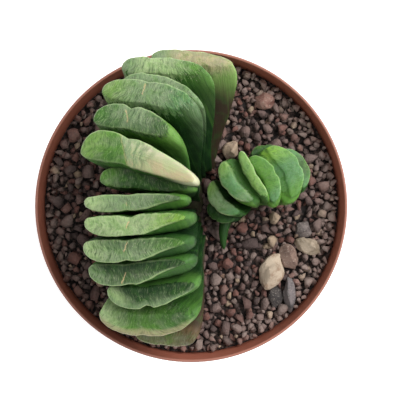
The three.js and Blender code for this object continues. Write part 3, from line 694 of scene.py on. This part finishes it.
def scatter(draw, tries, sizes, spacing, heights, before):
    """Grains as (x, y, z, radius) in millimetres, thrown by a seeded draw where those before leave room."""
    cells = {}
    for grain in before:
        cells.setdefault((int(grain[0] // CELL), int(grain[1] // CELL)), []).append(grain)
    fresh = []
    for _ in range(tries):
        radius = draw.uniform(*sizes)
        reach = BORE_AT_GRAINS - 0.1 - 0.92 * radius
        r, angle = reach * math.sqrt(draw.random()), math.tau * draw.random()
        x, y, z = r * math.cos(angle), r * math.sin(angle), draw.uniform(*heights)
        if taken(x, y, radius):
            continue
        column, line = int(x // CELL), int(y // CELL)
        near = [g for i in (-1, 0, 1) for j in (-1, 0, 1) for g in cells.get((column + i, line + j), ())]
        if any(math.hypot(x - g[0], y - g[1]) < spacing * (radius + g[3]) for g in near):
            continue
        grain = (x, y, z, radius)
        cells.setdefault((column, line), []).append(grain)
        fresh.append(grain)
    return fresh


def make_grains(context):
    grit = context.scene.haworthia_grit
    draw = random.Random(grit.seed)
    shapes = grain_shapes(draw, GRAIN_SHAPES)
    level, usual = grit.level / MM, grit.grain / MM / 2
    grains = []
    for tries, least, most, spacing, low, high, clear in THROWS:
        sizes, heights = (least * usual, most * usual), (level + low, level + high)
        grains += scatter(draw, tries, sizes, spacing, heights, grains if clear else [])
    bm = bmesh.new()
    tone = bm.verts.layers.float.new("tone")
    kind = bm.verts.layers.float.new("kind")
    for x, y, z, radius in grains:
        start = len(bm.verts)
        bm.from_mesh(draw.choice(shapes))
        bm.verts.ensure_lookup_table()
        sides = Vector((draw.uniform(0.95, 1.5), draw.uniform(0.75, 1.05), draw.uniform(0.6, 0.9)))
        turn = Euler((draw.uniform(-0.6, 0.6), draw.uniform(-0.6, 0.6), draw.uniform(0, math.tau)))
        place = Matrix.Translation(Vector((x, y, z)) * MM) @ turn.to_matrix().to_4x4()
        place @= Matrix.Diagonal((*(sides * radius * MM), 1))
        grain_tone, grain_kind = draw.random(), draw.random()
        for v in bm.verts[start:]:
            v.co = place @ v.co
            v[tone] = grain_tone
            v[kind] = grain_kind
    for mesh in shapes:
        bpy.data.meshes.remove(mesh)
    bmesh.ops.recalc_face_normals(bm, faces=bm.faces[:])

    shader = Shader("mineral grains", grit)
    place = shader.place()
    tone_of, kind_of = shader.attribute("tone"), shader.attribute("kind")
    cloud = shader.noise(place, 0.55, 5, 0.65)
    speck = shader.noise(place, 2.6, 4, 0.75)
    pit = shader.cells(place, 1.5)
    across, along_y, _ = shader.axes(place)
    # Painted light: the grains are paler by the wall, lightening the shade that the wall casts, and most of
    # all on the side that the key light comes from.
    key_side = shader.ease(shader.plus(across, shader.times(along_y, 0.6)), -20, 24, 0.25, 1)
    wall_light = shader.times(shader.ease(shader.radius(place), 34, 43.5, 0, 0.6), key_side)
    base = shader.coated(
        "mauve",
        ("grey", tone_of, 0.1, 0.9),
        ("red", kind_of, 0.6, 0.78),
        ("cream", kind_of, 0.93, 0.95),
        ("dark", kind_of, 0.16, 0.1),
        ("dark", cloud, 0.42, 0.72, 0, 0.55),
        ("grey", speck, 0.55, 0.68, 0, 0.45),
        ("bed", tone_of, 0.35, 0.0, 0, 0.4),
        (shade(190, 168, 158), wall_light),
    )
    height = shader.plus(shader.times(cloud, 1.2), shader.times(speck, 0.5), shader.times(pit, 0.5))
    material = shader.finish(base, shader.ease(speck, 0.3, 0.8, 0.95, 0.7), height, 0.4 * MM)
    new_piece(context, bm, "grit_grains", material, "grit")


def make_stones(context):
    draw = random.Random(STONE_SEED)
    for name, middle, size, turn, body, vein in STONES:
        bm = bmesh.new()
        bmesh.ops.create_icosphere(bm, subdivisions=4, radius=0.56)
        for _ in range(9):
            way = Vector((draw.uniform(-1, 1), draw.uniform(-1, 1), draw.uniform(-0.4, 1))).normalized()
            cut = bmesh.ops.bisect_plane(
                bm, geom=bm.verts[:] + bm.edges[:] + bm.faces[:], plane_co=way * draw.uniform(0.4, 0.49),
                plane_no=way, clear_outer=True
            )["geom_cut"]
            bmesh.ops.holes_fill(bm, edges=[e for e in cut if isinstance(e, bmesh.types.BMEdge)], sides=0)
        bmesh.ops.triangulate(bm, faces=[f for f in bm.faces if len(f.verts) > 4])
        bmesh.ops.subdivide_edges(bm, edges=bm.edges[:], cuts=1, use_grid_fill=True)
        for _ in range(2):
            bmesh.ops.smooth_vert(
                bm, verts=bm.verts[:], factor=0.5, use_axis_x=True, use_axis_y=True, use_axis_z=True
            )
        offset = Vector((draw.uniform(0, 50), draw.uniform(0, 50), draw.uniform(0, 50)))
        for v in bm.verts:
            v.co *= 1 + 0.06 * noise.noise(v.co * 3.2 + offset) + 0.025 * noise.noise(v.co * 11 + offset)
        place = (
            Matrix.Translation(Vector(middle) * MM) @ Matrix.Rotation(math.radians(turn), 4, "Z")
            @ Matrix.Diagonal((*[1.06 * side * MM for side in size], 1))
        )
        bmesh.ops.transform(bm, matrix=place, verts=bm.verts[:])
        closed(bm)
        shader = Shader(name.replace("_", " "))
        spot = shader.place()
        cloud = shader.noise(spot, 0.35, 5, 0.6)
        speck = shader.noise(spot, 2.4, 4, 0.75)
        base = shader.coated(
            body,
            (vein, cloud, 0.46, 0.68),
            (shade(222, 212, 196), speck, 0.56, 0.7, 0, 0.55),
            (vein, speck, 0.42, 0.3, 0, 0.5),
        )
        material = shader.finish(base, 0.85, shader.plus(cloud, shader.times(speck, 0.4)), 0.5 * MM)
        new_piece(context, bm, f"{name}_rock", material, name)


# ---------------- stems

def make_stems(context):
    # The main stem's dark tone is painted shade, the shade that falls on it among the leaf bases. The pup's
    # stem has its own fresh green.
    for name, stem, tone in (("main_stem", MAIN_STEM, (70, 74, 40)), ("pup_stem", PUP_STEM, (98, 138, 56))):
        crown, depth = stem["crown"], stem["depth"]
        profile = [(wide, crown - depth + up * depth) for wide, up in STEM_FOOT]
        bm = spun(profile + [(wide, crown - down) for wide, down in STEM_CROWN], 64)
        for v in bm.verts:
            x, y, z = v.co
            ribs = 1 + 0.025 * math.sin(9 * math.atan2(y, x))
            ribs += 0.03 * noise.noise(Vector((x * 3, y * 3, z * 0.6)))
            x, y = x * stem["half_x"] * ribs + stem["x"], y * stem["half_y"] * ribs + stem["y"]
            v.co = Vector((x, y, z)) * MM
        shader = Shader(name.replace("_", " "))
        cloud = shader.noise(shader.place((1, 1, 0.4)), 0.5, 5)
        base = shader.coated(shade(*tone), (shade(58, 48, 34), cloud, 0.35, 0.65))
        material = shader.finish(base, 0.7, cloud, 0.6 * MM)
        new_piece(context, bm, f"{name}_base", material, name)


# ---------------- leaves

def look_of(node):
    return {**(PUP_USUAL if node.startswith("pup") else USUAL), **LOOKS[node]}


def seed_of(node):
    return 0.37 * sum(map(ord, node))


def leaf_frames(row, stem):
    """A leaf's middle line with its directions, from its foot to its window, and its measures."""
    left, scar, right = (Vector((*spot, 0)) for spot in (row.left, row.scar, row.right))
    chord = (right - left).normalized()
    outward = Vector((-chord.y, chord.x, 0)) * row.rank
    cut, blunt = CORNER_CUT.get(row.node, 0), POINTED.get(row.node, RIGHT_BLUNT)
    left_along, right_along = FAN_LEFT_ALONG, FAN_RIGHT_ALONG
    if cut or row.node in POINTED:
        right_along = [*STEEP_RIGHT_ALONG, (1, 1.02 - CUT_REACH * cut)]
    if stem is PUP_STEM:
        left_along, right_along = PUP_LEFT_ALONG, PUP_RIGHT_ALONG
    part = math.hypot(row.foot[0] / stem["half_x"], row.foot[1] / stem["half_y"])
    stem_top = stem["crown"] - STEM_SHOULDER * part ** 4
    foot = Vector((stem["x"] + row.foot[0], stem["y"] + row.foot[1], stem_top - 1))
    tip = Vector((scar.x, scar.y, row.height))
    reach = tip - foot
    lean = max(0.0, reach.dot(outward))
    bend = foot + reach * 0.5 + outward * (0.07 * lean + 0.3) - UP * (0.05 * lean)
    tip_across = chord * math.cos(WINDOW_ROLL) + UP * math.sin(WINDOW_ROLL)
    plan = {
        "left": (scar - left).dot(chord), "right": (right - scar).dot(chord),
        "curl": (scar - left).dot(outward), "left_along": left_along, "right_along": right_along,
        "cut": cut, "window_blunt": blunt, "heel_blunt": lerp(blunt, HEEL_BLUNT, cut),
        "fill": FILL.get(row.node, 0), "notch": look_of(row.node)["notch"], "length": reach.length,
    }

    def frame_at(s):
        middle, tangent = curve(foot, bend, tip, s)
        facing = tangent.lerp(UP, 0.5 * ease(s, 0.6, 1)).normalized()
        across = chord.lerp(tip_across, s)
        across = (across - facing * across.dot(facing)).normalized()
        return middle, across, facing.cross(across) * row.rank, facing

    return plan, frame_at


def rim_point(row, stem, plan, s, angle):
    """A point of a leaf's outline at s: sideways, through its thickness, and where it lies, -1 to 1."""
    cosine, sine = math.cos(angle), math.sin(angle)
    near_window = ease(s, 0.9, 1)
    right_blunt = lerp(plan["heel_blunt"], plan["window_blunt"], near_window)
    across = math.copysign(abs(cosine) ** (LEFT_BLUNT if cosine < 0 else right_blunt), cosine)
    if abs(cosine) < 1e-6:
        across = 0.0
    left, right = plan["left"] * along(plan["left_along"], s), plan["right"] * along(plan["right_along"], s)
    thick = lerp(stem["leaf_foot"], lerp(*row.thick, (across + 1) / 2), along(THICK_ALONG, s))
    crease = 1 - CREASE_DEPTH * s * math.exp(-((across / CREASE_WIDTH) ** 2))
    depth = abs(sine) ** 0.8 * thick * crease
    if sine > 0:
        depth *= BACK_SHARE * (1 - plan["cut"] * near_window * ease(across, 0.05, 1))
    else:
        depth *= (BACK_SHARE - 1) * (1 + plan["fill"] * ease(s, 0.2, 0.7) * (1 - near_window))
    sideways = (right + left) * across / 2 + (right - left) * across ** 2 / 2
    notch_at, notch_side, notch_depth = plan["notch"]
    if (sine > 0) == (notch_side > 0):
        depth *= 1 - notch_depth * ease(s, 0.7, 1) * math.exp(-((sideways - notch_at) ** 2))
    return sideways, depth, across


def window_rise(scar, side, sideways, deep, inset, size, seed):
    """How far the window stands out: rounded shoulder, low crown, the scar's groove and fine wrinkles."""
    scar_at, slant, _, _, scarred = scar
    round_off = min(1.0, inset / SHOULDER[side])
    rise = WINDOW_CROWN * (0.5 * math.sqrt(1 - (1 - round_off) ** 2) + 0.5 * (1 - size ** 2))
    if scarred:
        rise -= SCAR_DEPTH * round_off * math.exp(-((sideways - scar_at - slant * deep) / SCAR_WIDTH) ** 2)
    wrinkle = Vector((sideways * (1 - SPLAY * abs(deep)) * 1.1, deep * 0.3, 0)) + seed
    waves = 0.09 * noise.noise(wrinkle) + 0.05 * noise.noise(wrinkle * 2.3)
    waves += 0.12 * noise.noise(Vector((sideways * 0.35, deep * 0.4, 9)) + seed)
    return rise + round_off * waves


def make_leaf(context, row, stem):
    """One leaf: a tube drawn up from a circle, shaped ring by ring, its window domed over the last rings."""
    settings = context.scene.haworthia_leaves
    row, rings = LeafRow(*row), settings.rings
    look = look_of(row.node)
    plan, frame_at = leaf_frames(row, stem)
    bm, across_of, ray_of, flow_of, place_of = leaf_tube(settings.sides, rings + WINDOW_RINGS)
    seed = Vector((seed_of(row.node), 0, 0))
    frames = [frame_at(min(1.0, level / rings)) for level in range(rings + WINDOW_RINGS + 1)]
    rims = {}
    for v in bm.verts:
        level = round(v.co.z)
        s = min(1.0, level / rings)
        inner = max(0, level - rings) / WINDOW_RINGS
        size = 1 - inner ** WINDOW_CLOSING
        middle, across_way, outward_way, facing = frames[level]
        angle = math.atan2(v.co.y, v.co.x)
        ray, depth, across = rim_point(row, stem, plan, s, angle)
        sine = math.sin(angle)
        side = 1 if sine > 0 else -1
        sideways, deep = ray * size, depth * size
        curl = size * size * plan["curl"] * (0.3 + 0.7 * s) * across ** 2
        rise, wide = 0, 1.0
        if inner:
            key = round(angle, 4)
            if key not in rims:
                ahead = rim_point(row, stem, plan, 1, angle + 0.02)
                step = Vector((ahead[0] - ray, ahead[1] - depth))
                rims[key] = abs(ray * step.y - depth * step.x) / max(step.length, 1e-6)
            wide = rims[key]
            rise = window_rise(look["scar"], side, sideways, deep, wide * (1 - size), size, seed)
        down = plan["length"] * (1 - s)
        swell = 0.2 * noise.noise(Vector((ray * 0.5, 3 * sine, down * 0.1)) + seed)
        swell += 0.1 * noise.noise(Vector((ray * 1.5, 3 * sine, down * 0.12)) + seed)
        swell *= sine * min(1.0, 3 * s) * size
        v.co = (middle + across_way * sideways + outward_way * (deep - curl + swell) + facing * rise) * MM
        v[across_of] = across * size
        v[ray_of] = ray
        v[place_of] = Vector((sideways, deep, wide * (1 - size) - down))
        v[flow_of] = deep if inner else side * (abs(depth) + down)
    closed(bm)
    new_piece(context, bm, f"{row.node}_flesh", leaf_material(settings, row.node), row.node)


def leaf_material(settings, node):
    """Flesh with a window whose streaky tones run ragged over the rim, long lines, a scar and a pale rim."""
    look = look_of(node)
    shader = Shader(node.replace("_", " "), settings)
    times, plus, less, masked = shader.times, shader.plus, shader.less, shader.ease
    seed = seed_of(node)
    sideways, deep, rim = shader.axes(shader.attribute("place", "Vector"))
    across, ray, flow = (shader.attribute(key) for key in ("across", "ray", "flow"))

    spread = plus(times(shader.size_of(deep), SPLAY), times(deep, look["fan"]))
    bend = shader.noise(shader.combine(times(sideways, 0.22), times(deep, 0.3), seed + 51), 1.0, 1, 0.5)
    splay = plus(times(sideways, less(1, spread)), times(less(bend, 0.5), 1.2))

    def pattern(width, run, start, detail=3, roughness=0.6, over=splay, along_it=flow):
        spot = shader.combine(times(over, width), times(along_it, run), seed + start)
        return shader.noise(spot, 1.0, detail, roughness)

    coarse = pattern(1.1, 0.3, 0, 4, 0.65)
    fine = pattern(3.2, 0.62, 3)
    dash = pattern(3.8, 1.5, 11, 2)
    patch = pattern(0.3, 0.34, 7, 2, 0.5)
    blot = pattern(0.75, 0.75, 17, 3, 0.6)
    line = pattern(1.5, 0.035, 23, 4, 0.65, ray, rim)

    # The window and how far it runs down the inner and the outer side.
    tooth = plus(times(coarse, 0.5), times(pattern(2.2, 0.09, 31, 4, 0.7), 0.5))
    ragged = times(less(tooth, 0.5), 3.6 * look["jag"], masked(flow, -0.5, 1, 1, 0.2))
    spill = times(masked(flow, -0.6, 0.6, *look["spill"]), masked(across, 1, 0.4, 0.1, 1))
    window = masked(plus(rim, spill, ragged), -look["soft"], look["soft"])

    left, centre, right = look["window"].split()
    streak, fleck = look["streak"], look["fleck"]
    # Painted shade on the window's inner half, towards the plant's middle; the pale flecks are dimmed in it.
    inner_shade = masked(plus(flow, times(less(coarse, 0.5), 5)), 1.4, -2, 0, 0.8 * look["shaded"])
    lit = less(1, times(inner_shade, 0.7))
    glass = shader.coated(
        left,
        (centre, across, -0.8, -0.2),
        (right, across, 0.2, 0.85),
        ("lilac" if look["flesh"] == 1 else "sea", patch, 0.42, 0.66, 0, 0.35),
        ("fresh", patch, 0.48, 0.3, 0, 0.4),
        ("leaf", blot, 0.48, 0.62, 0, look["mottle"] * 0.5),
        ("bottle", times(inner_shade, masked(across, -0.95, -0.45))),
    )
    halo, halo_width = look["halo"]
    if halo:
        band = times(masked(rim, halo_width, 0, 0, halo), masked(flow, -0.5, 1.5))
        glass = shader.coated(glass, ("peach" if look["rim_tone"] == "peach" else "sage", band))
    glass = shader.coated(
        glass,
        ("moss", coarse, 0.48, 0.68, 0, 0.8 * streak),
        ("bottle", fine, 0.52, 0.66, 0, 0.6 * streak),
        ("milk", times(lit, masked(fine, 0.46, 0.34, 0, 0.45 * fleck))),
        ("cream", times(lit, masked(dash, 0.62, 0.72, 0, 0.5 * fleck))),
    )
    if look["cream"]:
        grey = times(masked(across, 0.6, 0.1), masked(coarse, 0.36, 0.54, 0.2, 0.9))
        dark = times(masked(coarse, 0.5, 0.6, 0, 0.5), masked(across, 0.5, 0.2), masked(across, 0.05, 0.2))
        pale = shader.coated(
            "peach",
            ("cream", flow, -0.5, 2.5),
            ("milk", patch, 0.4, 0.6, 0, 0.5),
            ("sage", grey),
            ("shadow", dark),
        )
        glass = shader.coated(glass, (pale, plus(sideways, times(deep, 0.6)), 0.1, 0.7))

    near, far = look["face"].split()
    if look["inner"]:
        near = shader.coated(near, (look["inner"], flow, 0.3, -0.3))
    # Below the rim the flanks turn to the far tone: painted shade between the leaves, and on the browned
    # leaves partly their own bronze.
    face = shader.coated(
        far,
        (near, rim, -look["fade"], -0.8),
        (far, line, 0.52, 0.68, 0, 0.75 * look["lines"]),
        ("fresh", line, 0.46, 0.32, 0, 0.35 * look["lines"]),
        ("moss", patch, 0.5, 0.68, 0, 0.4),
    )
    # A striped band down the right side of the flanks: partly the flesh's own tone, partly a painted
    # highlight on the heels that face the light.
    margin_tone, margin, margin_down = look["margin"]
    if margin:
        stripes = masked(pattern(2.6, 0.02, 41, 2, 0.5, ray, rim), 0.56, 0.44, 0.5, 1)
        side = times(masked(across, 0.6, 0.98), stripes, masked(rim, -margin_down, -1.5, 0, margin))
        face = shader.coated(face, (margin_tone, side))
    if look["cream"]:
        face = shader.coated(face, ("cream", times(masked(across, 0.55, 0.9), masked(rim, -9, -0.5))))

    edge = times(masked(rim, -0.45, -0.05), masked(rim, 0.55, 0.1), masked(across, 0.95, 0.7))
    edge = times(edge, masked(flow, -0.4, 0.4, *look["rim"]))
    base = shader.coated(face, (glass, window), (look["rim_tone"], edge))
    scar_at, slant, start, end, strength = look["scar"]
    if strength:
        off = plus(less(sideways, plus(times(deep, slant), scar_at)), times(less(blot, 0.5), 1.4))
        mark = times(
            masked(shader.size_of(off), 0.3, 0.06), strength, masked(deep, start - 0.3, start + 0.3),
            masked(deep, end + 0.3, end - 0.3), masked(rim, -0.3, 0.1)
        )
        base = shader.coated(base, ("scar", mark))

    height = plus(times(fine, 0.7), times(coarse, 0.7), times(dash, 0.3))
    if look["cream"]:
        height = times(height, masked(across, 0.3, -0.1, 0.3, 1))
    pores = shader.noise(shader.place(), 2.4, 3, 0.6)
    height = plus(times(height, window), times(line, 0.5), times(pores, 0.25))
    rough = plus(masked(fine, 0.2, 0.8, -0.06, 0.1), settings.gloss)
    return shader.finish(
        base, rough, height, 0.25 * MM, Subsurface_Weight=settings.depth * look["flesh"],
        Subsurface_Radius=(0.5, 1.0, 0.3), Subsurface_Scale=FLESH_REACH * look["flesh"],
        Specular_IOR_Level=settings.sheen
    )


def make_spike(context):
    foot, bend, tip = (Vector(SPIKE[key]) for key in ("foot", "bend", "tip"))
    bm, across_of, ray_of, flow_of, place_of = leaf_tube(SPIKE_SIDES, SPIKE_RINGS)
    for v in bm.verts:
        s = min(1.0, max(0.0, v.co.z / SPIKE_RINGS))
        angle = math.atan2(v.co.y, v.co.x)
        middle, facing = curve(foot, bend, tip, s)
        across_way = facing.cross(UP).normalized()
        back = across_way.cross(facing)
        size = math.sqrt(max(0.0, 1 - s ** 1.6)) * min(1.0, 0.55 + 8 * s) if s else 0
        keel = 1 + 0.25 * max(0.0, math.sin(angle)) ** 4
        sideways = math.cos(angle) * size * SPIKE_WIDTH / 2
        rise = math.sin(angle) * size * SPIKE_THICK / 2 * keel
        down = SPIKE_LENGTH * (1 - s)
        v.co = (middle + across_way * sideways + back * rise) * MM
        v[across_of] = math.cos(angle)
        v[ray_of] = sideways
        v[place_of] = Vector((sideways, rise, -down - 1.5))
        v[flow_of] = down
    closed(bm)
    material = leaf_material(context.scene.haworthia_leaves, "pup_leaf_spike")
    new_piece(context, bm, "pup_leaf_spike_flesh", material, "pup_leaf_spike")


# ---------------- stage

def make_stage(context):
    stage = context.scene.haworthia_stage
    bm = bmesh.new()
    bmesh.ops.create_grid(bm, x_segments=8, y_segments=8, size=stage.floor_size / 2)
    floor = placed(context, "floor", meshed(bm, "floor"))
    shader = Shader("pale floor", stage)
    rough = shader.ease(shader.noise(shader.place(), 0.3, 2), 0.3, 0.7, 0.85, 0.95)
    floor.data.materials.append(
        shader.finish("floor_colour", rough, Emission_Color=(1, 1, 1), Emission_Strength=stage.floor_glow)
    )

    world = bpy.data.worlds.new("studio")
    world.use_nodes = True
    background = world.node_tree.nodes["Background"]
    background.inputs["Color"].default_value = (1, 1, 1, 1)
    background.inputs["Strength"].default_value = stage.fill
    context.scene.world = world

    light = bpy.data.lights.new("key", "AREA")
    light.shape, light.size, light.energy = "DISK", 0.7, stage.key_power
    lamp = placed(context, "key", light)
    lamp.location = spot = Vector((0.55, 0.3, 0.72))
    lamp.rotation_mode = "QUATERNION"
    lamp.rotation_quaternion = (spot - Vector((0, 0, 0.07))).to_track_quat("Z", "Y")

    view = bpy.data.cameras.new("camera")
    view.sensor_width = 36
    view.lens = stage.lens
    view.clip_start, view.clip_end = 0.01, 50
    camera = placed(context, "camera", view)
    camera.location = (2.53 * MM, 1.75 * MM, stage.camera_height)
    context.scene.camera = camera
    context.scene.view_settings.view_transform = "Standard"


# ---------------- operators

class HAWORTHIA_OT_pot(bpy.types.Operator):
    """Build the nursery pot, with its collar, foot ring and drain holes"""

    bl_idname = "haworthia.pot"
    bl_label = "Pot"

    def execute(self, context):
        make_pot(context)
        return {"FINISHED"}


class HAWORTHIA_OT_grit(bpy.types.Operator):
    """Fill the pot with grit: a bed of grit dust with loose grains on top"""

    bl_idname = "haworthia.grit"
    bl_label = "Grit"

    def execute(self, context):
        make_bed(context)
        make_grains(context)
        return {"FINISHED"}


class HAWORTHIA_OT_stones(bpy.types.Operator):
    """Lay the larger stones on the grit"""

    bl_idname = "haworthia.stones"
    bl_label = "Stones"

    def execute(self, context):
        make_stones(context)
        return {"FINISHED"}


class HAWORTHIA_OT_stems(bpy.types.Operator):
    """Stand the two short stems in the grit"""

    bl_idname = "haworthia.stems"
    bl_label = "Stems"

    def execute(self, context):
        make_stems(context)
        return {"FINISHED"}


class HAWORTHIA_OT_fan(bpy.types.Operator):
    """Grow the leaves of the big fan"""

    bl_idname = "haworthia.fan"
    bl_label = "Fan leaves"

    def execute(self, context):
        for row in FAN_LEAVES:
            make_leaf(context, row, MAIN_STEM)
        return {"FINISHED"}


class HAWORTHIA_OT_pup(bpy.types.Operator):
    """Grow the leaves of the pup, with its first leaf, the spike"""

    bl_idname = "haworthia.pup"
    bl_label = "Pup leaves"

    def execute(self, context):
        for row in PUP_LEAVES:
            make_leaf(context, row, PUP_STEM)
        make_spike(context)
        return {"FINISHED"}


class HAWORTHIA_OT_stage(bpy.types.Operator):
    """Set up the floor, the soft light and the camera over the plant"""

    bl_idname = "haworthia.stage"
    bl_label = "Stage"

    def execute(self, context):
        make_stage(context)
        return {"FINISHED"}


OPERATORS = (
    HAWORTHIA_OT_pot, HAWORTHIA_OT_grit, HAWORTHIA_OT_stones, HAWORTHIA_OT_stems, HAWORTHIA_OT_fan,
    HAWORTHIA_OT_pup, HAWORTHIA_OT_stage,
)
SETTINGS = (
    ("haworthia_pot", HaworthiaPotSettings),
    ("haworthia_grit", HaworthiaGritSettings),
    ("haworthia_leaves", HaworthiaLeafSettings),
    ("haworthia_stage", HaworthiaStageSettings),
)


class HAWORTHIA_PT_panel(bpy.types.Panel):
    """Sizes, colours and building steps of the potted haworthia"""

    bl_idname = "HAWORTHIA_PT_panel"
    bl_label = "Potted haworthia"
    bl_space_type = "VIEW_3D"
    bl_region_type = "UI"
    bl_category = "Haworthia"

    def draw(self, context):
        for operator in OPERATORS:
            self.layout.operator(operator.bl_idname)
        for name, group in SETTINGS:
            box = self.layout.box()
            for key in group.__annotations__:
                box.prop(getattr(context.scene, name), key)


def register():
    for name, group in SETTINGS:
        bpy.utils.register_class(group)
        setattr(bpy.types.Scene, name, bpy.props.PointerProperty(type=group))
    for operator in OPERATORS:
        bpy.utils.register_class(operator)
    bpy.utils.register_class(HAWORTHIA_PT_panel)


def unregister():
    bpy.utils.unregister_class(HAWORTHIA_PT_panel)
    for operator in reversed(OPERATORS):
        bpy.utils.unregister_class(operator)
    for name, group in reversed(SETTINGS):
        delattr(bpy.types.Scene, name)
        bpy.utils.unregister_class(group)


def main():
    register()
    for operator in OPERATORS:
        area, name = operator.bl_idname.split(".")
        if getattr(getattr(bpy.ops, area), name)() != {"FINISHED"}:
            raise RuntimeError(f"{operator.bl_label} was not built")


if __name__ == "__main__":
    main()
